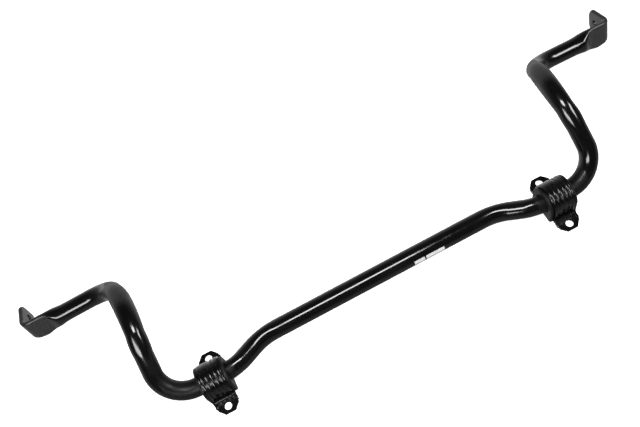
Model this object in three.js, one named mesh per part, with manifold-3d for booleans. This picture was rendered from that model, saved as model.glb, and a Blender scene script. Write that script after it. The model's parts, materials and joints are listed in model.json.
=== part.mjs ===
// Front stabilizer bar (sway bar) with its two clamped rubber bushes.
// Millimetres, +X to the right, +Y towards the link arms, +Z up.
// The bar lies as it does on a floor: on its two base plates and on the lower edges of its end pads.
import * as THREE from 'three';
import { mergeVertices } from 'three/addons/utils/BufferGeometryUtils.js';
import Module from 'manifold-3d';

const wasm = await Module();
wasm.setup();

// ---------- driving dimensions ----------

// Bar tube
const TUBE_R = 15;
const TUBE_SIDES = 24;
const ARC_STEP = THREE.MathUtils.degToRad(9);

// Bends of the right half of the centreline, from the middle of the bar to the fold of its end pad.
// The bushing axis is the line y = 0, z = 0. Each bend has its corner, radius and ovality.
const MIDDLE = new THREE.Vector3(0, 26.5, -7);
const BENDS = [
  { name: 'inner joggle', corner: [207, 26.5, -7], radius: 100, oval: 0.05 },
  { name: 'outer joggle', corner: [262, 0, 0], radius: 75, oval: 0.05 },
  { name: 'shoulder', corner: [382, 0, 0], radius: 49, oval: 0.01 },
  { name: 'arm rise', corner: [370, 74, 74.5], radius: 82, oval: 0.06 },
  { name: 'arm crest', corner: [363, 143, 102.5], radius: 74, oval: 0.08 },
  { name: 'arm foot', corner: [399.5, 218.5, 16], radius: 50, oval: 0.02 },
];

// Flattened and folded end
const FOLD_CORNER = new THREE.Vector3(550.5, 220.5, 6.5);
const FOLD_R = 9;
const FOLD_STEPS = 6;
const PAD_PITCH = THREE.MathUtils.degToRad(18.5);
const PAD_LENGTH = 48;
const PAD_HALF_WIDTH = 21;
const PAD_HALF_THICKNESS = 4;
const PAD_CORNER_R = 8;
const PAD_CORNER_STEPS = 4;
const PAD_HOLE_FROM_FOLD = 32;
const PAD_HOLE_R = 5.5;
const FLATTEN_FROM_FOLD = 58;
const FLATTEN_LENGTH = 24;
const FLATTEN_STEPS = 6;

// Bush and clamp, measured from the bushing axis at the middle of the clamp; +X is outboard
const BUSH_X = 301;
const FIT_GAP = 0.3;
const FLOOR_Z = -26.5;
const BASE_T = 1.5;
const SHEET_T = 2.2;
const BUSH_R = 24.2;
const SADDLE_HALF_WIDTH = 18.5;
const BEND_IN_R = 3;
const BEAD_X = 12.5;
const BEAD_WIDTH = 4.5;
const BEAD_HEIGHT = 1.2;
const OUTER_LIP = { from: 18.8, to: 22, radius: 27.4 };
const INNER_LIP = { from: -24.5, to: -18.8, radius: 25.6 };
const EAR_TIP_Y = 52.5;
const EAR_SHOULDER_Y = 42.5;
const EAR_HALF_WIDTH = 17.5;
const EAR_TIP_HALF_WIDTH = 8.5;
const EAR_ROOT_Y = 31;
const BOLT_Y = 42;
const SADDLE_HOLE_R = 6.2;
const BASE_HOLE_R = 7;
const TAB_FROM_Y = 31.5;
const TAB_TO_Y = 39.5;
const TAB_T = 1.5;
const TAB_REACH = 4.5;

// Stickers on the middle of the bar
const STICKER_T = 0.35;
const STICKER_FROM = THREE.MathUtils.degToRad(58);
const STICKER_SPAN = THREE.MathUtils.degToRad(92);
const SHORT_STICKER_X = [55, 74.5];
const LONG_STICKER_X = [76.8, 110.8];

// Heights that follow from the ones above
const BASE_TOP_Z = FLOOR_Z + BASE_T;
const EAR_BOTTOM_Z = BASE_TOP_Z + FIT_GAP;
const EAR_TOP_Z = EAR_BOTTOM_Z + SHEET_T;
const SADDLE_IN_R = BUSH_R + FIT_GAP;
const SADDLE_OUT_R = SADDLE_IN_R + SHEET_T;

// ---------- solids ----------

function solid(geometry) {
  const bare = geometry.clone();
  bare.deleteAttribute('normal');
  bare.deleteAttribute('uv');
  const merged = mergeVertices(bare, 1e-4);
  return new wasm.Manifold(new wasm.Mesh({
    numProp: 3,
    vertProperties: new Float32Array(merged.attributes.position.array),
    triVerts: new Uint32Array(merged.index.array),
  }));
}

function geometryOf(body) {
  const mesh = body.getMesh();
  const geometry = new THREE.BufferGeometry();
  geometry.setAttribute('position', new THREE.BufferAttribute(mesh.vertProperties, 3));
  geometry.setIndex(new THREE.BufferAttribute(mesh.triVerts, 1));
  return geometry;
}

function box(x, y, z) {
  const geometry = new THREE.BoxGeometry(x[1] - x[0], y[1] - y[0], z[1] - z[0]);
  geometry.translate((x[0] + x[1]) / 2, (y[0] + y[1]) / 2, (z[0] + z[1]) / 2);
  return solid(geometry);
}

function uprightCylinder(radius, x, y, z) {
  const geometry = new THREE.CylinderGeometry(radius, radius, z[1] - z[0], 32);
  geometry.rotateX(Math.PI / 2);
  geometry.translate(x, y, (z[0] + z[1]) / 2);
  return solid(geometry);
}

// A shape drawn in the Y-Z plane, extruded along X.
function alongX(shape, x, curveSegments = 10) {
  const geometry = new THREE.ExtrudeGeometry(shape, { depth: x[1] - x[0], bevelEnabled: false, curveSegments });
  geometry.applyMatrix4(new THREE.Matrix4().set(0, 0, 1, x[0], 1, 0, 0, 0, 0, 1, 0, 0, 0, 0, 0, 1));
  return solid(geometry);
}

// A shape drawn in the X-Y plane, extruded along Z.
function alongZ(shape, z) {
  const geometry = new THREE.ExtrudeGeometry(shape, { depth: z[1] - z[0], bevelEnabled: false });
  geometry.translate(0, 0, z[0]);
  return solid(geometry);
}

// ---------- bar ----------

function padDirection() {
  return new THREE.Vector3(0, Math.cos(PAD_PITCH), -Math.sin(PAD_PITCH));
}

function straight(list, from, to, steps = 1) {
  const direction = to.clone().sub(from).normalize();
  for (let i = 0; i <= steps; i += 1) {
    list.push({ at: from.clone().lerp(to, i / steps), direction });
  }
}

// Rounds one corner of the centreline with an arc that is tangent to both sides.
function roundedCorner(before, corner, after, radius, steps) {
  const inward = corner.clone().sub(before).normalize();
  const outward = after.clone().sub(corner).normalize();
  const turn = inward.angleTo(outward);
  const setback = radius * Math.tan(turn / 2);
  const start = corner.clone().addScaledVector(inward, -setback);
  const axis = inward.clone().cross(outward).normalize();
  const toCentre = axis.clone().cross(inward);
  const centre = start.clone().addScaledVector(toCentre, radius);
  const count = steps ?? Math.ceil(turn / ARC_STEP);
  const stations = [];
  for (let i = 0; i <= count; i += 1) {
    const angle = (turn * i) / count;
    const arm = toCentre.clone().multiplyScalar(-radius).applyAxisAngle(axis, angle);
    stations.push({ at: centre.clone().add(arm), direction: inward.clone().applyAxisAngle(axis, angle) });
  }
  return { stations, axis };
}

function markLengths(stations) {
  let length = 0;
  stations.forEach((station, i) => {
    if (i > 0) length += station.at.distanceTo(stations[i - 1].at);
    station.length = length;
  });
}

// Stations of the centreline from the middle of the bar to the tip of the right end pad.
function halfCentreline() {
  const end = FOLD_CORNER.clone().addScaledVector(padDirection(), PAD_LENGTH);
  const corners = [MIDDLE, ...BENDS.map((bend) => new THREE.Vector3(...bend.corner)), FOLD_CORNER, end];
  const stations = [{ at: MIDDLE.clone(), direction: new THREE.Vector3(1, 0, 0) }];
  const bends = BENDS.map((bend, i) => {
    const arc = roundedCorner(corners[i], corners[i + 1], corners[i + 2], bend.radius);
    stations.push(...arc.stations);
    return { ...bend, axis: arc.axis, first: arc.stations[0], last: arc.stations.at(-1) };
  });
  const foot = corners[BENDS.length];
  const fold = roundedCorner(foot, FOLD_CORNER, end, FOLD_R, FOLD_STEPS);
  const stub = FOLD_CORNER.clone().sub(foot).normalize();
  const flattenStart = FOLD_CORNER.clone().addScaledVector(stub, -FLATTEN_FROM_FOLD);
  const flattenEnd = flattenStart.clone().addScaledVector(stub, FLATTEN_LENGTH);
  straight(stations, flattenStart, flattenEnd, FLATTEN_STEPS);
  stations.push(...fold.stations);
  const tip = [];
  for (let i = 0; i <= PAD_CORNER_STEPS; i += 1) {
    const angle = (Math.PI / 2) * (i / PAD_CORNER_STEPS);
    const back = PAD_CORNER_R * (1 - Math.sin(angle));
    const narrower = PAD_CORNER_R * (1 - Math.cos(angle));
    tip.push({ at: end.clone().addScaledVector(padDirection(), -back), direction: padDirection(), narrower });
  }
  stations.push(...tip);
  markLengths(stations);
  return { stations, bends, flattenStart, foldAxis: fold.axis };
}

// Carries the section's long direction back along the bar from the end pad without twist.
function carryFrames(stations, longDirection) {
  let long = longDirection.clone();
  for (let i = stations.length - 1; i >= 0; i -= 1) {
    const { direction } = stations[i];
    long = long.addScaledVector(direction, -long.dot(direction)).normalize();
    stations[i].long = long.clone();
    stations[i].short = direction.clone().cross(long);
  }
}

function ovalOffset(offset, station, bends) {
  const moved = offset.clone();
  bends.forEach((bend) => {
    const along = THREE.MathUtils.inverseLerp(bend.first.length, bend.last.length, station.length);
    const weight = bend.oval * Math.sin(Math.PI * THREE.MathUtils.clamp(along, 0, 1));
    const across = station.direction.clone().cross(bend.axis).normalize();
    moved.addScaledVector(bend.axis, weight * offset.dot(bend.axis));
    moved.addScaledVector(across, -weight * offset.dot(across));
  });
  return moved;
}

// One ring of the tube: a circle that flattens into a straight-sided section with round edges.
function ring(station, flat, bends) {
  const halfLong = THREE.MathUtils.lerp(TUBE_R, PAD_HALF_WIDTH, flat) - (station.narrower ?? 0);
  const edgeR = THREE.MathUtils.lerp(TUBE_R, PAD_HALF_THICKNESS, flat);
  const points = [];
  for (let i = 0; i < TUBE_SIDES; i += 1) {
    const angle = (2 * Math.PI * (i + 0.5)) / TUBE_SIDES;
    const along = Math.sign(Math.cos(angle)) * (halfLong - edgeR) + edgeR * Math.cos(angle);
    const offset = station.long.clone().multiplyScalar(along);
    offset.addScaledVector(station.short, edgeR * Math.sin(angle));
    points.push(station.at.clone().add(ovalOffset(offset, station, bends)));
  }
  return points;
}

// Skins a row of rings and closes both ends.
function skin(rings) {
  const sides = rings[0].length;
  const points = rings.flat();
  const index = [];
  for (let r = 0; r < rings.length - 1; r += 1) {
    for (let i = 0; i < sides; i += 1) {
      const a = r * sides + i;
      const b = r * sides + ((i + 1) % sides);
      index.push(a, b, b + sides, a, b + sides, a + sides);
    }
  }
  const last = (rings.length - 1) * sides;
  for (let i = 1; i < sides - 1; i += 1) {
    index.push(0, i + 1, i, last, last + i, last + i + 1);
  }
  const geometry = new THREE.BufferGeometry().setFromPoints(points);
  geometry.setIndex(index);
  return geometry;
}

function mirrored(point) {
  return new THREE.Vector3(-point.x, point.y, point.z);
}

function padHole(side) {
  const centre = FOLD_CORNER.clone().addScaledVector(padDirection(), PAD_HOLE_FROM_FOLD);
  const geometry = new THREE.CylinderGeometry(PAD_HOLE_R, PAD_HOLE_R, 6 * PAD_HALF_THICKNESS, 32);
  geometry.rotateZ(Math.PI / 2);
  geometry.translate(side * centre.x, centre.y, centre.z);
  return solid(geometry);
}

function barGeometry() {
  const { stations, bends, flattenStart, foldAxis } = halfCentreline();
  carryFrames(stations, foldAxis);
  const nearest = stations.reduce((a, b) => (
    b.at.distanceTo(flattenStart) < a.at.distanceTo(flattenStart) ? b : a
  ));
  const rightRings = stations.map((station) => {
    const flat = THREE.MathUtils.smoothstep(station.length - nearest.length, 0, FLATTEN_LENGTH);
    return ring(station, flat, bends);
  });
  const leftRings = rightRings.slice(1).reverse().map((points) => points.map(mirrored));
  const bar = solid(skin([...leftRings, ...rightRings]));
  return geometryOf(bar.subtract(padHole(1)).subtract(padHole(-1)));
}

// ---------- stickers ----------

// A thin sheet wrapped round the rear of the bar. Angles run from straight up towards -Y.
function stickerGeometry(x) {
  const from = Math.PI / 2 + STICKER_FROM;
  const to = from + STICKER_SPAN;
  const inner = TUBE_R + FIT_GAP;
  const shape = new THREE.Shape();
  shape.absarc(MIDDLE.y, MIDDLE.z, inner + STICKER_T, from, to, false);
  shape.absarc(MIDDLE.y, MIDDLE.z, inner, to, from, true);
  return geometryOf(alongX(shape, x, 8));
}

// ---------- clamp: rubber bush, saddle and base plate ----------

// The outline that a bush has from the end: round on top, straight-sided down to the base plate.
function archShape(radius, bottom) {
  const shape = new THREE.Shape();
  shape.moveTo(radius, bottom);
  shape.lineTo(radius, 0);
  shape.absarc(0, 0, radius, 0, Math.PI, false);
  shape.lineTo(-radius, bottom);
  shape.closePath();
  return shape;
}

function wholeBush() {
  const body = alongX(archShape(BUSH_R, EAR_BOTTOM_Z), [INNER_LIP.from, OUTER_LIP.to]);
  const lips = [INNER_LIP, OUTER_LIP].map((lip) => alongX(archShape(lip.radius, EAR_BOTTOM_Z), [lip.from, lip.to]));
  const bore = new THREE.CylinderGeometry(TUBE_R + FIT_GAP, TUBE_R + FIT_GAP, 100, 40);
  bore.rotateZ(Math.PI / 2);
  return body.add(lips[0]).add(lips[1]).subtract(solid(bore));
}

function bushHalfGeometry(upper) {
  const reach = 60;
  const z = upper ? [FIT_GAP / 2, reach] : [-reach, -FIT_GAP / 2];
  return geometryOf(wholeBush().intersect(box([-reach, reach], [-reach, reach], z)));
}

// Plan outline of the clamp: a straight middle and two ears with cut corners.
function planShape() {
  const quarter = [
    [SADDLE_HALF_WIDTH, EAR_ROOT_Y - 1],
    [EAR_HALF_WIDTH, EAR_ROOT_Y],
    [EAR_HALF_WIDTH, EAR_SHOULDER_Y],
    [EAR_TIP_HALF_WIDTH, EAR_TIP_Y],
  ];
  const front = [...quarter, ...quarter.map(([x, y]) => [-x, y]).reverse()];
  const outline = [...front, ...front.map(([x, y]) => [-x, -y])];
  return new THREE.Shape(outline.map(([x, y]) => new THREE.Vector2(x, y)));
}

// Side view of the saddle sheet: ear, bend, leg, arch, leg, bend, ear.
function saddleProfile() {
  const bendOutR = BEND_IN_R + SHEET_T;
  const bendY = SADDLE_IN_R + bendOutR;
  const bendZ = EAR_BOTTOM_Z + bendOutR;
  const reach = EAR_TIP_Y + 1;
  const shape = new THREE.Shape();
  shape.moveTo(-reach, EAR_BOTTOM_Z);
  shape.lineTo(-bendY, EAR_BOTTOM_Z);
  shape.absarc(-bendY, bendZ, bendOutR, -Math.PI / 2, 0, false);
  shape.absarc(0, 0, SADDLE_IN_R, Math.PI, 0, true);
  shape.lineTo(SADDLE_IN_R, bendZ);
  shape.absarc(bendY, bendZ, bendOutR, Math.PI, 1.5 * Math.PI, false);
  shape.lineTo(reach, EAR_BOTTOM_Z);
  shape.lineTo(reach, EAR_TOP_Z);
  shape.absarc(bendY, bendZ, BEND_IN_R, 1.5 * Math.PI, Math.PI, true);
  shape.absarc(0, 0, SADDLE_OUT_R, 0, Math.PI, false);
  shape.lineTo(-SADDLE_OUT_R, bendZ);
  shape.absarc(-bendY, bendZ, BEND_IN_R, 0, -Math.PI / 2, true);
  shape.lineTo(-reach, EAR_TOP_Z);
  shape.closePath();
  return shape;
}

// A pressed bead that runs over the arch near one edge of the saddle.
function bead(x) {
  const span = [x - BEAD_WIDTH / 2, x + BEAD_WIDTH / 2];
  const foot = EAR_TOP_Z + BEND_IN_R;
  const outer = alongX(archShape(SADDLE_OUT_R + BEAD_HEIGHT, foot), span);
  return outer.subtract(alongX(archShape(SADDLE_IN_R + SHEET_T / 2, foot - 1), [span[0] - 1, span[1] + 1]));
}

function saddleGeometry() {
  const reach = 40;
  const sheet = alongX(saddleProfile(), [-SADDLE_HALF_WIDTH, SADDLE_HALF_WIDTH]);
  let body = sheet.intersect(alongZ(planShape(), [-reach, reach]));
  [-BEAD_X, BEAD_X].forEach((x) => {
    body = body.add(bead(x));
  });
  [-BOLT_Y, BOLT_Y].forEach((y) => {
    body = body.subtract(uprightCylinder(SADDLE_HOLE_R, 0, y, [-reach, 0]));
  });
  return geometryOf(body);
}

// A tab of the base plate that stands up beside an ear and folds over its edge.
function crimpTab(sideX, sideY) {
  const wallX = [EAR_HALF_WIDTH + FIT_GAP, EAR_HALF_WIDTH + FIT_GAP + TAB_T];
  const hookX = [wallX[1] - TAB_REACH, wallX[1]];
  const footX = [EAR_HALF_WIDTH - 2, wallX[1]];
  const hookZ = [EAR_TOP_Z + FIT_GAP, EAR_TOP_Z + FIT_GAP + TAB_T];
  const y = [TAB_FROM_Y, TAB_TO_Y].map((value) => sideY * value).sort((a, b) => a - b);
  const across = (x) => x.map((value) => sideX * value).sort((a, b) => a - b);
  const wall = box(across(wallX), y, [FLOOR_Z, hookZ[1]]);
  return wall.add(box(across(hookX), y, hookZ)).add(box(across(footX), y, [FLOOR_Z, BASE_TOP_Z]));
}

function basePlateGeometry() {
  let body = alongZ(planShape(), [FLOOR_Z, BASE_TOP_Z]);
  [-1, 1].forEach((sideX) => {
    [-1, 1].forEach((sideY) => {
      body = body.add(crimpTab(sideX, sideY));
    });
  });
  [-BOLT_Y, BOLT_Y].forEach((y) => {
    body = body.subtract(uprightCylinder(BASE_HOLE_R, 0, y, [FLOOR_Z - 1, BASE_TOP_Z + 1]));
  });
  return geometryOf(body);
}

// ---------- materials ----------

function blackPaint() {
  return new THREE.MeshStandardMaterial({ color: 0x101012, roughness: 0.25, metalness: 0.0 });
}

function blackCoatedSheet() {
  return new THREE.MeshStandardMaterial({ color: 0x161618, roughness: 0.4, metalness: 0.1 });
}

function rubber() {
  return new THREE.MeshStandardMaterial({ color: 0x1b1b1c, roughness: 0.7, metalness: 0.0 });
}

function whitePaper() {
  return new THREE.MeshStandardMaterial({ color: 0xe8e8e6, roughness: 0.6, metalness: 0.0 });
}

// ---------- assembly ----------

function named(name, geometry, material) {
  const mesh = new THREE.Mesh(geometry, material);
  mesh.name = name;
  return mesh;
}

function clamp(side) {
  const group = new THREE.Group();
  group.add(named(`${side}_bush_upper`, bushHalfGeometry(true), rubber()));
  group.add(named(`${side}_bush_lower`, bushHalfGeometry(false), rubber()));
  group.add(named(`${side}_saddle`, saddleGeometry(), blackCoatedSheet()));
  group.add(named(`${side}_base_plate`, basePlateGeometry(), blackCoatedSheet()));
  return group;
}

function swayBar() {
  const group = new THREE.Group();
  group.add(named('stabilizer_bar', barGeometry(), blackPaint()));
  group.add(named('sticker_short', stickerGeometry(SHORT_STICKER_X), whitePaper()));
  group.add(named('sticker_long', stickerGeometry(LONG_STICKER_X), whitePaper()));
  const right = clamp('right');
  right.position.x = BUSH_X;
  const left = clamp('left');
  left.position.x = -BUSH_X;
  left.rotation.z = Math.PI;
  group.add(right, left);
  return group;
}

// The origin is on the floor under the middle of the whole assembly.
const assembly = swayBar();
const extent = new THREE.Box3().setFromObject(assembly);
assembly.position.set(0, -(extent.min.y + extent.max.y) / 2, -extent.min.z);

export default assembly;
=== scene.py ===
import json
import math

import bmesh
import bpy
import numpy as np
from mathutils import Matrix, Vector

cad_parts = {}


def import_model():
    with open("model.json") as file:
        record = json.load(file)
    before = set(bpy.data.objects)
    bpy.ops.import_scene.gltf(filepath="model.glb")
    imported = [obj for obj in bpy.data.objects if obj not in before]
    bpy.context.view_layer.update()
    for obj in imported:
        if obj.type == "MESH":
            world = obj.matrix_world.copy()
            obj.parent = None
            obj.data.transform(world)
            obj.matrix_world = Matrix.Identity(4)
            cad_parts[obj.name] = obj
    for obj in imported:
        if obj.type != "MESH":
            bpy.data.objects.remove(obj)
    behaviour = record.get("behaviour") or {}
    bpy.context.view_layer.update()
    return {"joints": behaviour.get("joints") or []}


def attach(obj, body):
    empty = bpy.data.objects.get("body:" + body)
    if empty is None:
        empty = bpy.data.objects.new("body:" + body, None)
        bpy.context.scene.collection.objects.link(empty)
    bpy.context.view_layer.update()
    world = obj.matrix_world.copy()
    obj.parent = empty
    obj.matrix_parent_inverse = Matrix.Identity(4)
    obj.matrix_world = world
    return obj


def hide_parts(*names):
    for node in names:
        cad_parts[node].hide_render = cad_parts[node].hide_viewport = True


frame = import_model()

MM = 0.001

# ---------- driving dimensions ----------
# Millimetres from the bushing axis at the middle of the bar: +X to the right-hand end,
# +Y towards the end pads, +Z up. Front means +Y here, as it does in the record's names.
# Angles are in radians.

TUBE_R = 15.0
TUBE_SIDES = 96
MIDDLE = (0.0, 26.5, -7.0)
# corner, radius and ovality of each bend of the right half, from the middle outwards
BENDS = [
    ((207.0, 26.5, -7.0), 100.0, 0.065),
    ((262.0, 0.0, 0.0), 75.0, 0.065),
    ((382.0, 0.0, 0.0), 49.0, 0.01),
    ((370.0, 74.0, 74.5), 82.0, 0.06),
    ((363.0, 143.0, 102.5), 74.0, 0.08),
    ((399.5, 218.5, 16.0), 57.0, 0.03),
]
BEND_STEP = math.radians(2.0)
TUBE_STEP = 6.0

# flattened and folded end
FOLD_CORNER = (550.5, 220.5, 6.5)
FOLD_R = 12.0
FOLD_STEP = math.radians(6.0)
FLAT_STEP = 1.2
PAD_PITCH = math.radians(18.5)
PAD_LENGTH = 48.0
PAD_HALF_WIDTH = 21.0
PAD_HALF_THICKNESS = 4.0
PAD_CORNER_R = 8.0
PAD_CORNER_STEPS = 14
PAD_STEP = 2.0
PAD_HOLE_FROM_FOLD = 32.0
PAD_HOLE_R = 5.5
PAD_HOLE_CHAMFER = 0.6
FLATTEN_FROM_FOLD = 58.0
FLATTEN_LENGTH = 24.0
# the section grows wider a little before and after it grows thinner
WIDEN_EARLIER = 14.0
WIDEN_LATER = 4.0
# fuller lower edge of the flattened end: height, and place and half length before the fold
BELLY = 3.2
BELLY_FROM_FOLD = 22.0
BELLY_HALF_LENGTH = 11.0
# the lower edge draws in again round the fold: depth, and where it starts and ends
TUCK = 1.8
TUCK_FROM, TUCK_TO = -10.0, 4.0

# clamps, measured from the middle of each clamp, +X outboard
BUSH_X = 301.0
FLOOR_Z = -26.5
BASE_T = 1.5
SHEET_T = 2.2
FIT_GAP = 0.3
BUSH_R = 24.2
EAR_BOTTOM_Z = FLOOR_Z + BASE_T + FIT_GAP
EAR_TOP_Z = EAR_BOTTOM_Z + SHEET_T
SADDLE_IN_R = BUSH_R + FIT_GAP
SADDLE_HALF_WIDTH = 18.5
SADDLE_COLUMNS = 149
LEG_FOOT_R = 5.5
LEG_TAPER_HEIGHT = 6.0
EAR_TIP_Y = 52.5
EAR_SHOULDER_Y = 42.5
EAR_ROOT_Y = 31.0
EAR_HALF_WIDTH = 17.5
EAR_TIP_HALF_WIDTH = 8.5
SHEET_OUTBOARD = 21.6
BOLT_Y = 42.0
EAR_HOLE_R = 6.0
BASE_HOLE_R = 6.5

# pressed ribs of both saddles, from the left edge of the sheet to its right edge:
# place across the sheet, crest height and half width of the crest
RIBS = [
    (-18.3, 1.2, 0.9),
    (-14.4, 1.7, 1.25),
    (-7.4, 1.7, 1.25),
    (0.4, 1.9, 1.45),
    (7.6, 1.7, 1.25),
    (14.2, 1.7, 1.25),
    (18.3, 1.2, 0.9),
]
RIB_CREST_R = 3.6
RIB_WALL_SLOPE = 1.35
# the crests are slightly flattened behind the top: angle round the arch from the front,
# half span and depth
FLAT_AT = math.radians(108.5)
FLAT_HALF_SPAN = 0.55
FLAT_DEPTH = 0.9
CROWN_HEIGHT = 1.7

# crimp tabs of the base plate
TAB_T = 1.4
TAB_Y = 35.5
TAB_WIDTH = 7.5
TAB_TIP_WIDTH = 6.0
TAB_GAP = 0.35
TAB_BEND_R = 0.9

# ends of a bush, from inboard to outboard: place along the bar and growth of the outline
BUSH_PROFILE = [
    (-24.5, -1.6),
    (-24.3, 0.4),
    (-23.2, 1.4),
    (-20.2, 1.5),
    (-19.2, 0.9),
    (-18.8, 0.0),
    (18.8, 0.0),
    (19.0, 2.4),
    (19.6, 3.2),
    (21.0, 3.2),
    (21.8, 2.4),
    (22.0, 0.6),
]
# its bore: place along the bar and clearance round the tube
BUSH_BORE = [(-30, 2.1), (-24.6, 1.3), (-23.2, 0.12), (20.8, 0.12), (22.1, 1.2), (30, 2)]

# stickers round the tube: place along the bar, and heights of the two faces over the paint
STICKER_FROM = math.radians(58.0)
STICKER_SPAN = math.radians(92.0)
STICKER_STEPS = 40
STICKER_INNER, STICKER_OUTER = 0.03, 0.16
STICKERS = [
    ("label_short", "sticker_short", (56.2, 74.5)),
    ("label_long", "sticker_long", (77.0, 109.4)),
]

# the bushing axis in the frame, from the record's joints
AXIS = Vector((0.0, *frame["joints"][0]["pos_m"][1:]))
TO_FRAME = Matrix.Translation(AXIS) @ Matrix.Scale(MM, 4)


# ---------- small tools ----------


def vec(p):
    return np.array(p, float)


def unit(v):
    return v / np.linalg.norm(v)


def smoothstep(x, a, b):
    t = np.clip((x - a) / (b - a), 0, 1)
    return float(t * t * (3 - 2 * t))


def turned(v, axis, angle):
    c, s = math.cos(angle), math.sin(angle)
    return v * c + np.cross(axis, v) * s + axis * (axis @ v) * (1 - c)


def side_name(side):
    return "right" if side > 0 else "left"


def mesh_object(name, verts, faces):
    """A mesh object from points in millimetres about the bushing axis."""
    mesh = bpy.data.meshes.new(name)
    mesh.from_pydata([tuple(v) for v in verts], [], faces)
    mesh.transform(TO_FRAME)
    mesh.validate()
    obj = bpy.data.objects.new(name, mesh)
    bpy.context.scene.collection.objects.link(obj)
    return obj


def loft(rings):
    """Vertices and faces of a closed skin over a row of rings with the same number of points."""
    count = len(rings[0])
    verts = [p for ring in rings for p in ring]
    faces = []
    for r in range(len(rings) - 1):
        here, there = r * count, (r + 1) * count
        for i in range(count):
            j = (i + 1) % count
            faces.append((here + i, here + j, there + j, there + i))
    faces.append(tuple(reversed(range(count))))
    faces.append(tuple((len(rings) - 1) * count + i for i in range(count)))
    return verts, faces


def apply_modifiers(obj):
    bpy.context.view_layer.update()
    graph = bpy.context.evaluated_depsgraph_get()
    mesh = bpy.data.meshes.new_from_object(obj.evaluated_get(graph))
    old = obj.data
    obj.modifiers.clear()
    obj.data = mesh
    bpy.data.meshes.remove(old)


def outward(obj):
    bm = bmesh.new()
    bm.from_mesh(obj.data)
    bmesh.ops.recalc_face_normals(bm, faces=bm.faces)
    bm.to_mesh(obj.data)
    bm.free()


def shade(obj, angle):
    """Smooth shading, with edges sharper than the angle in degrees kept."""
    obj.data.polygons.foreach_set("use_smooth", [True] * len(obj.data.polygons))
    obj.data.set_sharp_from_angle(angle=math.radians(angle))
    obj.data.update()


def cut(obj, cutter):
    modifier = obj.modifiers.new("cut", "BOOLEAN")
    modifier.operation = "DIFFERENCE"
    modifier.solver = "EXACT"
    modifier.object = cutter
    apply_modifiers(obj)
    bpy.data.objects.remove(cutter)


def revolved(name, profile, centre, axis, segments=64):
    """A solid turned about an axis through centre. The profile is (distance along it, radius)."""
    axis = unit(vec(axis))
    side = unit(np.cross(axis, vec((0.3, 0.5, 0.8))))
    other = np.cross(axis, side)
    angles = 2 * np.pi * np.arange(segments) / segments
    spokes = [side * math.cos(a) + other * math.sin(a) for a in angles]
    rings = []
    for along, radius in profile:
        rings.append([vec(centre) + axis * along + radius * spoke for spoke in spokes])
    return mesh_object(name, *loft(rings))


def drill_ears(obj, radius):
    """The two upright bolt holes of a saddle or base plate."""
    for y in (-BOLT_Y, BOLT_Y):
        cut(obj, revolved("cutter", [(-8, radius), (8, radius)], (0, y, EAR_BOTTOM_Z), (0, 0, 1)))


def bevelled(obj, width, segments, angle):
    """Rounds the edges that are sharper than the angle in degrees."""
    modifier = obj.modifiers.new("bevel", "BEVEL")
    modifier.width = width * MM
    modifier.segments = segments
    modifier.limit_method = "ANGLE"
    modifier.angle_limit = math.radians(angle)
    modifier.harden_normals = False
    apply_modifiers(obj)


# ---------- materials ----------


class Nodes:
    """A short way to write a node tree. Positions and distances in it are in metres."""

    def __init__(self, tree, coordinates):
        self.tree = tree
        self.coords = tree.nodes.new("ShaderNodeTexCoord").outputs[coordinates]

    def feed(self, socket, value):
        if isinstance(value, bpy.types.NodeSocket):
            self.tree.links.new(value, socket)
        else:
            socket.default_value = value

    def axes(self):
        """The X, Y and Z sockets of the coordinates."""
        node = self.tree.nodes.new("ShaderNodeSeparateXYZ")
        self.feed(node.inputs[0], self.coords)
        return node.outputs["X"], node.outputs["Y"], node.outputs["Z"]

    def noise(self, scale, detail=2.0, roughness=0.5):
        node = self.tree.nodes.new("ShaderNodeTexNoise")
        self.feed(node.inputs["Vector"], self.coords)
        node.inputs["Scale"].default_value = scale
        node.inputs["Detail"].default_value = detail
        node.inputs["Roughness"].default_value = roughness
        return node.outputs["Fac"]

    def cells(self, scale):
        node = self.tree.nodes.new("ShaderNodeTexVoronoi")
        node.feature = "F1"
        self.feed(node.inputs["Vector"], self.coords)
        node.inputs["Scale"].default_value = scale
        return node.outputs["Distance"]

    def spread(self, value, low, high, to_low=0.0, to_high=1.0):
        """A smooth step of value from low to high, which may run either way."""
        node = self.tree.nodes.new("ShaderNodeMapRange")
        node.interpolation_type = "SMOOTHSTEP"
        self.feed(node.inputs["Value"], value)
        limits = {"From Min": low, "From Max": high, "To Min": to_low, "To Max": to_high}
        for key, number in limits.items():
            node.inputs[key].default_value = number
        return node.outputs["Result"]

    def math(self, operation, a, b=0.0):
        node = self.tree.nodes.new("ShaderNodeMath")
        node.operation = operation
        self.feed(node.inputs[0], a)
        self.feed(node.inputs[1], b)
        return node.outputs[0]

    def times(self, a, b):
        return self.math("MULTIPLY", a, b)

    def mix(self, factor, a, b):
        node = self.tree.nodes.new("ShaderNodeMix")
        node.data_type = "RGBA"
        self.feed(node.inputs["Factor"], factor)
        for key, value in (("A", a), ("B", b)):
            is_socket = isinstance(value, bpy.types.NodeSocket)
            self.feed(node.inputs[key], value if is_socket else (*value, 1.0))
        return node.outputs["Result"]

    def bump(self, height, distance, strength=1.0, normal=None):
        node = self.tree.nodes.new("ShaderNodeBump")
        self.feed(node.inputs["Height"], height)
        node.inputs["Distance"].default_value = distance
        node.inputs["Strength"].default_value = strength
        if normal is not None:
            self.feed(node.inputs["Normal"], normal)
        return node.outputs["Normal"]


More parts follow.
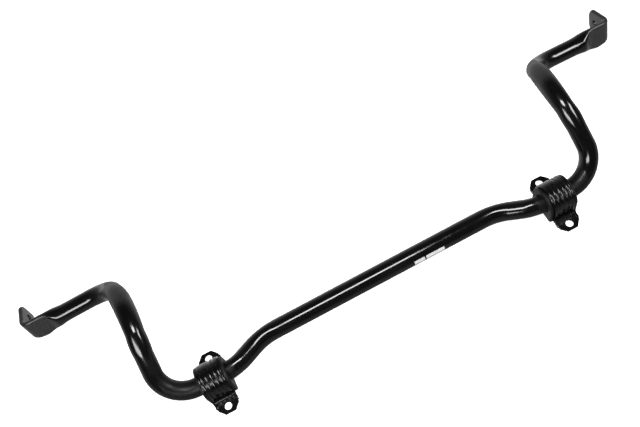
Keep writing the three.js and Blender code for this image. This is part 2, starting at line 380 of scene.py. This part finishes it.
class Surface(Nodes):
    """The node tree of a material with one Principled shader."""

    def __init__(self, name):
        self.material = bpy.data.materials.new(name)
        self.material.use_nodes = True
        super().__init__(self.material.node_tree, "Object")

    def patches(self, scale, detail, low, high):
        """Smooth blotches from 0 to 1."""
        return self.spread(self.noise(scale, detail, 0.6), low, high)

    def set(self, **values):
        shader = self.tree.nodes["Principled BSDF"]
        for key, value in values.items():
            if isinstance(value, tuple):
                value = (*value, 1.0)
            self.feed(shader.inputs[key.replace("_", " ")], value)
        return self.material


def bar_paint():
    """Gloss black paint. It is dull on the end pads, on the crest of each arm and beside the clamps. A
    paler grey base colour lies on the end pads and, faintly, beside the clamps, and a paler grey on the
    arms is painted sheen.
    """
    n = Surface("bar_paint")
    x, y, z = n.axes()
    away = n.math("ABSOLUTE", x)

    pads = n.spread(away, 0.50, 0.52)
    # the arms: rougher, with lower specular level, and with a painted sheen grey in their base colour
    crest = n.times(n.spread(y, 0.105, 0.085), n.spread(z, 0.05, 0.07))
    crest = n.math("MAXIMUM", crest, n.spread(away, 0.404, 0.392))
    arms = n.times(n.spread(y, 0.02, 0.05), crest)
    # a band beside each clamp: rougher, with lower specular level and a little paler grey base colour
    beside_clamps = n.times(n.spread(away, 0.262, 0.268), n.spread(x, 0.357, 0.350))
    beside_clamps = n.times(beside_clamps, n.spread(x, -0.376, -0.368))
    beside_clamps = n.times(beside_clamps, n.spread(y, -0.05, -0.07))

    black = n.mix(n.patches(26.0, 4.0, 0.35, 0.7), (0.0012, 0.0012, 0.0014), (0.0028, 0.0028, 0.0032))
    dust = n.times(n.spread(n.cells(520.0), 0.0, 0.16, 1.0, 0.0), 0.3)
    black = n.mix(dust, black, (0.02, 0.02, 0.022))
    # a paler grey base colour, used over the end pads and, mixed in at 0.15, beside the clamps
    pale_grey = n.mix(n.patches(180.0, 4.0, 0.3, 0.75), (0.012, 0.012, 0.0125), (0.022, 0.022, 0.023))
    # painted sheen: a paler grey base colour over the arms stands in for the sheen they reflect
    arm_sheen_grey = n.mix(n.patches(120.0, 4.0, 0.3, 0.75), (0.030, 0.030, 0.032), (0.038, 0.038, 0.040))
    # the arms take the painted sheen grey, the end pads the paler grey
    colour = n.mix(arms, n.mix(pads, black, pale_grey), arm_sheen_grey)
    colour = n.mix(n.times(beside_clamps, 0.15), colour, pale_grey)

    dull = n.math("MAXIMUM", pads, n.times(beside_clamps, 1.2))
    dull = n.math("MAXIMUM", dull, n.times(arms, 1.6))
    rough = n.spread(n.noise(60.0, 4.0, 0.6), 0.3, 0.75, 0.10, 0.18)
    rough = n.math("ADD", rough, n.times(dull, 0.2))
    matte = n.math("MAXIMUM", n.times(beside_clamps, 0.62), arms)

    waves = n.bump(n.noise(38.0), 0.00022, 0.5)
    peel = n.bump(n.noise(420.0), 0.000012, 0.6, waves)
    return n.set(
        Base_Color=colour,
        Roughness=rough,
        IOR=1.5,
        Specular_IOR_Level=n.spread(matte, 0.0, 1.0, 0.5, 0.1),
        Normal=peel,
    )


def bracket_steel():
    """Semi-gloss black coat over pressed sheet steel."""
    n = Surface("bracket_steel")
    colour = n.mix(n.patches(90.0, 4.0, 0.35, 0.7), (0.001, 0.001, 0.0013), (0.0035, 0.0035, 0.004))
    rough = n.spread(n.noise(160.0, 3.0, 0.6), 0.3, 0.75, 0.15, 0.22)
    waves = n.bump(n.noise(120.0), 0.0001, 0.25)
    grain = n.bump(n.noise(900.0, 3.0, 0.6), 0.000004, 0.5, waves)
    return n.set(Base_Color=colour, Roughness=rough, IOR=1.5, Normal=grain)


def bush_rubber():
    """Matte moulded rubber with a slight bloom."""
    n = Surface("bush_rubber")
    colour = n.mix(n.patches(70.0, 5.0, 0.35, 0.75), (0.0025, 0.0025, 0.0025), (0.006, 0.006, 0.0063))
    rough = n.spread(n.noise(220.0, 3.0, 0.6), 0.3, 0.75, 0.5, 0.66)
    grain = n.bump(n.noise(1400.0, 4.0, 0.65), 0.00003, 0.7)
    return n.set(Base_Color=colour, Roughness=rough, IOR=1.5, Specular_IOR_Level=0.25, Normal=grain)


def sticker_paper():
    """White label stock. A blank grey print band runs along the sheet below its upper margin."""
    n = Surface("sticker_paper")
    height = n.axes()[2]
    below_margin = n.spread(height, 0.0225, 0.0212)
    mottled = n.spread(n.noise(260.0, 3.0, 0.6), 0.35, 0.65, 0.75, 1.0)
    colour = n.mix(n.times(below_margin, mottled), (0.46, 0.46, 0.455), (0.235, 0.235, 0.235))
    fibre = n.bump(n.noise(900.0, 4.0, 0.65), 0.00002, 0.5)
    return n.set(Base_Color=colour, Roughness=0.55, IOR=1.45, Normal=fibre)


# ---------- the bar ----------


def pad_direction():
    return vec((0.0, math.cos(PAD_PITCH), -math.sin(PAD_PITCH)))


def rounded_corner(before, corner, after, radius, step):
    """Points and directions along the arc that rounds a corner, and the axis that it turns about."""
    inward, onward = unit(corner - before), unit(after - corner)
    turn = math.acos(np.clip(inward @ onward, -1, 1))
    start = corner - inward * radius * math.tan(turn / 2)
    axis = unit(np.cross(inward, onward))
    to_centre = np.cross(axis, inward)
    centre = start + to_centre * radius
    count = max(3, math.ceil(turn / step))
    angles = [turn * i / count for i in range(count + 1)]
    points = [centre - turned(to_centre, axis, a) * radius for a in angles]
    directions = [turned(inward, axis, a) for a in angles]
    return points, directions, axis


def straight_to(stations, point, direction, step):
    """Adds evenly spaced stations from the last one to point, without either end."""
    start = stations[-1]["at"]
    count = int(np.linalg.norm(point - start) // step)
    for i in range(1, count):
        stations.append({"at": start + (point - start) * i / count, "direction": direction})


def half_path():
    """Stations from the middle of the bar to the tip of its right end pad, each with its place and
    direction, and the bends between them. Also the place where the flattening starts."""
    end = vec(FOLD_CORNER) + pad_direction() * PAD_LENGTH
    corners = [vec(MIDDLE)] + [vec(bend[0]) for bend in BENDS] + [vec(FOLD_CORNER), end]
    stations = [{"at": corners[0], "direction": vec((1, 0, 0))}]
    bends = []
    for i, (_, radius, oval) in enumerate(BENDS):
        points, directions, axis = rounded_corner(*corners[i : i + 3], radius, BEND_STEP)
        straight_to(stations, points[0], directions[0], TUBE_STEP)
        first = len(stations)
        stations += [{"at": p, "direction": d} for p, d in zip(points, directions)]
        bends.append({"axis": axis, "oval": oval, "first": first, "last": len(stations) - 1})
    stub = unit(corners[-2] - corners[-3])
    flatten_start = corners[-2] - stub * FLATTEN_FROM_FOLD
    points, directions, fold_axis = rounded_corner(*corners[-3:], FOLD_R, FOLD_STEP)
    straight_to(stations, flatten_start, stub, TUBE_STEP)
    stations.append({"at": flatten_start, "direction": stub})
    straight_to(stations, points[0], stub, FLAT_STEP)
    stations += [{"at": p, "direction": d} for p, d in zip(points, directions)]
    straight_to(stations, end - pad_direction() * PAD_CORNER_R, pad_direction(), PAD_STEP)
    for i in range(PAD_CORNER_STEPS + 1):
        angle = (math.pi / 2) * i / PAD_CORNER_STEPS
        back = PAD_CORNER_R * (1 - math.sin(angle))
        narrower = PAD_CORNER_R * (1 - math.cos(angle))
        at = end - pad_direction() * back
        stations.append({"at": at, "direction": pad_direction(), "narrower": narrower})
    return stations, bends, fold_axis, flatten_start


def half_centreline():
    """The stations with all that a section needs: length so far, section axes and flattening."""
    stations, bends, fold_axis, flatten_start = half_path()
    length = 0.0
    for i, station in enumerate(stations):
        if i:
            length += np.linalg.norm(station["at"] - stations[i - 1]["at"])
        station["length"] = length
    start_length = next(s["length"] for s in stations if s["at"] is flatten_start)
    long = fold_axis
    for station in reversed(stations):
        direction = station["direction"]
        long = unit(long - direction * (long @ direction))
        station["long"], station["short"] = long, np.cross(direction, long)
        run = station["length"] - start_length
        station["thinned"] = smoothstep(run, 0, FLATTEN_LENGTH)
        station["widened"] = smoothstep(run, -WIDEN_EARLIER, FLATTEN_LENGTH + WIDEN_LATER)
        to_fold = FLATTEN_FROM_FOLD - run
        full = BELLY * math.exp(-(((to_fold - BELLY_FROM_FOLD) / BELLY_HALF_LENGTH) ** 2))
        station["belly"] = full - TUCK * smoothstep(-to_fold, TUCK_FROM, TUCK_TO)
    for bend in bends:
        bend["from"] = stations[bend["first"]]["length"]
        bend["to"] = stations[bend["last"]]["length"]
    return stations, bends


def ring_at(station, bends):
    """The bar's section at a station: a circle that flattens to a strip with round edges."""
    half_long = TUBE_R + (PAD_HALF_WIDTH - TUBE_R) * station["widened"] - station.get("narrower", 0.0)
    edge_r = TUBE_R + (PAD_HALF_THICKNESS - TUBE_R) * station["thinned"]
    down = -math.copysign(1, station["long"][2])
    ring = []
    for i in range(TUBE_SIDES):
        a = 2 * math.pi * (i + 0.5) / TUBE_SIDES
        along = math.copysign(half_long - edge_r, math.cos(a)) + edge_r * math.cos(a)
        if along * down > 0:
            along *= 1 + station["belly"] / half_long
        offset = station["long"] * along + station["short"] * edge_r * math.sin(a)
        for bend in bends:
            t = (station["length"] - bend["from"]) / (bend["to"] - bend["from"])
            weight = bend["oval"] * math.sin(math.pi * min(max(t, 0), 1))
            if weight > 0:
                across = unit(np.cross(station["direction"], bend["axis"]))
                wider = bend["axis"] * (offset @ bend["axis"])
                offset = offset + weight * (wider - across * (offset @ across))
        ring.append(station["at"] + offset)
    return ring


def hole_cutter(centre, axis):
    """A cutter for the hole of an end pad, with a chamfer at each face."""
    face, past = PAD_HALF_THICKNESS, 3
    wide = PAD_HOLE_R + PAD_HOLE_CHAMFER + past
    profile = [
        (-12.0, wide),
        (-face - past, wide),
        (-face + PAD_HOLE_CHAMFER, PAD_HOLE_R),
        (face - PAD_HOLE_CHAMFER, PAD_HOLE_R),
        (face + past, wide),
        (12.0, wide),
    ]
    return revolved("cutter", profile, centre, axis)


def bar():
    stations, bends = half_centreline()
    right = [ring_at(s, bends) for s in stations]
    left = [[p * vec((-1, 1, 1)) for p in ring] for ring in reversed(right[1:])]
    obj = mesh_object("bar_tube", *loft(left + right))
    outward(obj)
    centre = vec(FOLD_CORNER) + pad_direction() * PAD_HOLE_FROM_FOLD
    for side in (1, -1):
        mirror = vec((side, 1, 1))
        cut(obj, hole_cutter(centre * mirror, stations[-1]["short"] * mirror))
    shade(obj, 32)
    obj.data.materials.append(bar_paint())
    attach(obj, "bar")
    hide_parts("stabilizer_bar")


def sticker(name, node, x, paper):
    """A thin sheet wrapped round the rear of the tube."""
    inner, outer = TUBE_R + STICKER_INNER, TUBE_R + STICKER_OUTER
    centre = vec((0, *MIDDLE[1:]))
    corners = ((x[0], inner), (x[1], inner), (x[1], outer), (x[0], outer))
    rings = []
    for i in range(STICKER_STEPS + 1):
        a = STICKER_FROM + STICKER_SPAN * i / STICKER_STEPS
        out = vec((0, -math.sin(a), math.cos(a)))
        rings.append([centre + out * r + vec((along, 0, 0)) for along, r in corners])
    obj = mesh_object(name, *loft(rings))
    outward(obj)
    shade(obj, 40)
    obj.data.materials.append(paper)
    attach(obj, "bar")
    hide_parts(node)


# ---------- the clamps ----------


def placed(obj, side):
    """Takes a clamp piece, built about the middle of its clamp, to its side of the bar."""
    shift = Matrix.Translation((side * BUSH_X, 0, 0))
    if side < 0:
        shift = shift @ Matrix.Diagonal((-1, 1, 1, 1))
    obj.data.transform(TO_FRAME @ shift @ TO_FRAME.inverted())
    if side < 0:
        obj.data.flip_normals()
    return obj


def rib_height(across):
    """A rib has a rounded crest and straight walls."""
    heights = [0.0]
    for place, height, half_width in RIBS:
        off = abs(across - place)
        crest = height - min(off, half_width) ** 2 / (2 * RIB_CREST_R)
        heights.append(crest - RIB_WALL_SLOPE * max(0.0, off - half_width))
    return max(heights)


def dome_relief(across, y, around):
    """Height of the pressed saddle over its arch: ribs, but one smooth crown at the front left."""
    off = min(1.0, abs(around - FLAT_AT) / FLAT_HALF_SPAN)
    ribs = max(0.0, rib_height(across) - FLAT_DEPTH * (1 - off * off) ** 2)
    front = smoothstep(y, 5.0, 9.0)
    left = smoothstep(-across, -3.0, 0.0) * smoothstep(across, -17.0, -14.0)
    return ribs + (CROWN_HEIGHT - ribs) * front * left


def saddle_path():
    """Middle line of the saddle sheet in the Y-Z plane, from the front ear to the rear one.

    Each row is y, z, the outward direction (y and z) and the share of the relief of the arch."""
    half = SHEET_T / 2
    arch_r = SADDLE_IN_R + half
    bend_r = LEG_FOOT_R + half
    ear_z = EAR_BOTTOM_Z + half
    bend_y, bend_z = arch_r + bend_r, ear_z + bend_r
    rows = [(y, ear_z, 0.0, 1.0, 0.0) for y in np.linspace(EAR_TIP_Y, bend_y, 26)]
    for a in np.linspace(0, math.pi / 2, 14)[1:]:
        c, s = math.cos(a), math.sin(a)
        rows.append((bend_y - bend_r * s, bend_z - bend_r * c, s, c, 0.0))
    for z in np.linspace(bend_z, 0, 16)[1:]:
        rows.append((arch_r, z, 1.0, 0.0, smoothstep(z, bend_z + 2.0, bend_z + 12.0)))
    for a in np.linspace(0, math.pi / 2, 30)[1:]:
        c, s = math.cos(a), math.sin(a)
        rows.append((arch_r * c, arch_r * s, c, s, 1.0))
    return rows + [(-y, z, -ny, nz, share) for y, z, ny, nz, share in reversed(rows[:-1])]


def half_width_at(y, z):
    """Half of the saddle sheet's width, which follows the plan of the ears."""
    y = abs(y)
    if z > EAR_TOP_Z + LEG_TAPER_HEIGHT:
        return SADDLE_HALF_WIDTH
    if y > EAR_SHOULDER_Y:
        t = (y - EAR_SHOULDER_Y) / (EAR_TIP_Y - EAR_SHOULDER_Y)
        return EAR_HALF_WIDTH + (EAR_TIP_HALF_WIDTH - EAR_HALF_WIDTH) * t
    t = smoothstep(z, EAR_TOP_Z, EAR_TOP_Z + LEG_TAPER_HEIGHT)
    return EAR_HALF_WIDTH + (SADDLE_HALF_WIDTH - EAR_HALF_WIDTH) * t


def saddle(side):
    half = SHEET_T / 2
    rings = []
    for y, z, ny, nz, share in saddle_path():
        width = half_width_at(y, z)
        around = math.atan2(nz, ny)
        outer, inner = [], []
        for i in range(SADDLE_COLUMNS):
            x = width * (2 * i / (SADDLE_COLUMNS - 1) - 1)
            lift = dome_relief(side * x, y, around) * share if share else 0.0
            outer.append(vec((x, y + ny * (half + lift), z + nz * (half + lift))))
            inner.append(vec((x, y - ny * half, z - nz * half)))
        rings.append(outer + inner[::-1])
    obj = mesh_object(f"{side_name(side)}_saddle_strap", *loft(rings))
    outward(obj)
    drill_ears(obj, EAR_HOLE_R)
    bevelled(obj, 0.45, 3, 50)
    shade(obj, 35)
    return placed(obj, side)


def plan_outline():
    """The base sheet from above. Its outboard side is wider, under the larger lip of the bush."""
    inboard = [(SADDLE_HALF_WIDTH, EAR_ROOT_Y - 1), (EAR_HALF_WIDTH, EAR_ROOT_Y)]
    outboard = [(SHEET_OUTBOARD, EAR_ROOT_Y - 3), (SHEET_OUTBOARD - 1, EAR_ROOT_Y)]
    ear = [(EAR_HALF_WIDTH, EAR_SHOULDER_Y), (EAR_TIP_HALF_WIDTH, EAR_TIP_Y)]
    front = outboard + ear + [(-x, y) for x, y in reversed(inboard + ear)]
    return front + [(x, -y) for x, y in reversed(front)]


def base_plate(side):
    rings = [[vec((x, y, z)) for x, y in plan_outline()] for z in (FLOOR_Z, FLOOR_Z + BASE_T)]
    obj = mesh_object(f"{side_name(side)}_base_sheet", *loft(rings))
    outward(obj)
    drill_ears(obj, BASE_HOLE_R)
    bevelled(obj, 0.3, 2, 40)
    shade(obj, 35)
    return placed(obj, side)


def tab_path():
    """Middle line of a crimp tab, from under the ear's edge to on top of it: x, z and outward."""
    edge = EAR_HALF_WIDTH + TAB_GAP
    middle, r = edge - 0.2, TAB_BEND_R
    low, high = FLOOR_Z + BASE_T / 2, EAR_TOP_Z + TAB_GAP + TAB_T / 2
    path = [(edge - 2.5, low, 0, 1)]
    for centre_z, angles in (
        (low + r, np.linspace(0, math.pi / 2, 7)),
        (high - r, np.linspace(math.pi / 2, math.pi * 0.96, 8)),
    ):
        for a in angles:
            c, s = math.cos(a), math.sin(a)
            path.append((middle + r * s, centre_z - r * c, -s, c))
    return path + [(edge - 3.4, high - 0.25, 0, -1)]


def crimp_tabs(side):
    """Four tabs of the base plate, each a bent strip that grips the edge of an ear."""
    verts, faces = [], []
    path = tab_path()
    half = TAB_T / 2
    for sx in (-1, 1):
        for sy in (-1, 1):
            rings = []
            for k, (x, z, nx, nz) in enumerate(path):
                w = (TAB_WIDTH if k < len(path) - 3 else TAB_TIP_WIDTH) / 2
                corners = ((-w, half), (w, half), (w, -half), (-w, -half))
                ring = [(sx * (x + nx * n), sy * (TAB_Y + y), z + nz * n) for y, n in corners]
                rings.append([vec(p) for p in ring])
            tab_verts, tab_faces = loft(rings)
            faces += [tuple(i + len(verts) for i in face) for face in tab_faces]
            verts += tab_verts
    obj = mesh_object(f"{side_name(side)}_crimp_tabs", verts, faces)
    outward(obj)
    bevelled(obj, 0.3, 2, 40)
    shade(obj, 40)
    return placed(obj, side)


def bush_outline(radius, bottom):
    """A bush from its end: round over the bar and straight-sided down to the base."""
    corner, corner_steps = 2.0, 6
    points = [(radius * math.cos(a), radius * math.sin(a)) for a in np.linspace(0, math.pi, 48)]
    for centre_y, start in ((corner - radius, math.pi), (radius - corner, 1.5 * math.pi)):
        for a in np.linspace(start, start + math.pi / 2, corner_steps):
            points.append((centre_y + corner * math.cos(a), bottom + corner + corner * math.sin(a)))
    return points


def bush(side):
    """The rubber bush: a body in the saddle with a rolled lip at each end, and a bore."""
    rings = []
    for x, grow in BUSH_PROFILE:
        rings.append([vec((x, y, z)) for y, z in bush_outline(BUSH_R + grow, EAR_BOTTOM_Z)])
    obj = mesh_object(f"{side_name(side)}_bush_rubber", *loft(rings))
    outward(obj)
    bore = [(x, TUBE_R + gap) for x, gap in BUSH_BORE]
    cut(obj, revolved("cutter", bore, (0, 0, 0), (1, 0, 0), 96))
    shade(obj, 40)
    return placed(obj, side)


def clamp(side, steel, rubber):
    name = side_name(side)
    plate = f"{name}_base_plate"
    bushes = (f"{name}_bush_upper", f"{name}_bush_lower")
    for obj, nodes, slot, material in (
        (saddle(side), (f"{name}_saddle",), "bracket_steel", steel),
        (base_plate(side), (plate,), "bracket_steel", steel),
        (crimp_tabs(side), (plate,), "bracket_steel", steel),
        (bush(side), bushes, "bush_rubber", rubber),
    ):
        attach(obj, f"{name}_bracket")
        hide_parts(*nodes)
        obj.data.materials.append(material)


# ---------- studio ----------

CAMERA_FROM_AXIS = (-96.95, -419.59, 1095.95)
CAMERA_FORWARD = (0.04961, 0.47158, -0.88042)
CAMERA_RIGHT = (0.88450, -0.43018, -0.18058)
CAMERA_SENSOR = 36.0
CAMERA_LENS = 42.345
CAMERA_SHIFT = (-0.0005, 0.00013)

# area lights: place, what it faces, size and radiance
SOFTBOXES = {
    "overhead": ((0.0, -0.30, 1.53), (0.0, -0.2, 0.0), (0.57, 0.34), 24.0),
    "left_box": ((-1.22, -1.3, 1.33), (0.0, 0.0, 0.05), (1.25, 0.6), 14.0),
    "right_box": ((1.55, -0.78, 1.5), (0.0, 0.0, 0.05), (0.9, 0.45), 17.0),
}


def camera():
    data = bpy.data.cameras.new("camera")
    data.sensor_width = CAMERA_SENSOR
    data.lens = CAMERA_LENS
    data.clip_end = 20.0
    data.shift_x, data.shift_y = CAMERA_SHIFT
    obj = bpy.data.objects.new("camera", data)
    bpy.context.scene.collection.objects.link(obj)
    forward = Vector(CAMERA_FORWARD).normalized()
    right = Vector(CAMERA_RIGHT)
    right = (right - forward * right.dot(forward)).normalized()
    place = Matrix((right, right.cross(forward), -forward)).transposed().to_4x4()
    place.translation = AXIS + Vector(CAMERA_FROM_AXIS) * MM
    obj.matrix_world = place
    bpy.context.scene.camera = obj


def floor():
    """A wide white sheet that glows softly, so it stays white to the horizon."""
    radius, sides, drop = 25.0, 96, 0.0004
    angles = [2 * math.pi * i / sides for i in range(sides)]
    points = [(radius * math.cos(a), radius * math.sin(a), -drop) for a in angles]
    mesh = bpy.data.meshes.new("floor")
    mesh.from_pydata(points, [], [tuple(range(sides))])
    obj = bpy.data.objects.new("floor", mesh)
    bpy.context.scene.collection.objects.link(obj)
    n = Surface("floor_paper")
    fibre = n.spread(n.noise(40.0, 3.0, 0.6), 0.3, 0.7)
    paper = n.set(
        Base_Color=n.mix(fibre, (0.92, 0.92, 0.92), (0.95, 0.95, 0.95)),
        Roughness=0.9,
        Specular_IOR_Level=0.0,
        Emission_Color=(1.0, 1.0, 1.0),
        Emission_Strength=0.82,
    )
    mesh.materials.append(paper)
    obj.visible_glossy = False


def softbox(name, at, towards, size, radiance):
    data = bpy.data.lights.new(name, "AREA")
    data.shape = "RECTANGLE"
    data.size, data.size_y = size
    data.energy = radiance * math.pi * size[0] * size[1]
    obj = bpy.data.objects.new(name, data)
    bpy.context.scene.collection.objects.link(obj)
    aim = (Vector(towards) - Vector(at)).to_track_quat("-Z", "Y")
    obj.matrix_world = Matrix.Translation(at) @ aim.to_matrix().to_4x4()


def world():
    """A dim studio with a paler wall low on the +Y side, across from the camera, and a pale ground."""
    studio_world = bpy.data.worlds.new("studio")
    bpy.context.scene.world = studio_world
    studio_world.use_nodes = True
    n = Nodes(studio_world.node_tree, "Generated")
    _, y, z = n.axes()
    wall = n.times(n.spread(y, -0.1, 0.75), n.spread(z, 0.85, -0.1))
    ground = n.times(n.spread(z, 0.02, -0.12), n.spread(y, -0.5, 0.4, 0.22, 0.42))
    grey = n.math("ADD", n.math("ADD", n.times(wall, 0.5), 0.065), ground)
    combine = n.tree.nodes.new("ShaderNodeCombineColor")
    for key in ("Red", "Green", "Blue"):
        n.feed(combine.inputs[key], grey)
    background = n.tree.nodes["Background"]
    n.feed(background.inputs["Color"], combine.outputs["Color"])
    background.inputs["Strength"].default_value = 1.0


def studio():
    camera()
    floor()
    world()
    for name, settings in SOFTBOXES.items():
        softbox(name, *settings)
    view = bpy.context.scene.view_settings
    view.view_transform = "Standard"
    view.look = "None"


# ---------- assembly ----------

bar()
label_paper = sticker_paper()
for sticker_name, sticker_node, sticker_x in STICKERS:
    sticker(sticker_name, sticker_node, sticker_x, label_paper)
bracket_coat, rubber_skin = bracket_steel(), bush_rubber()
for clamp_side in (1, -1):
    clamp(clamp_side, bracket_coat, rubber_skin)
studio()
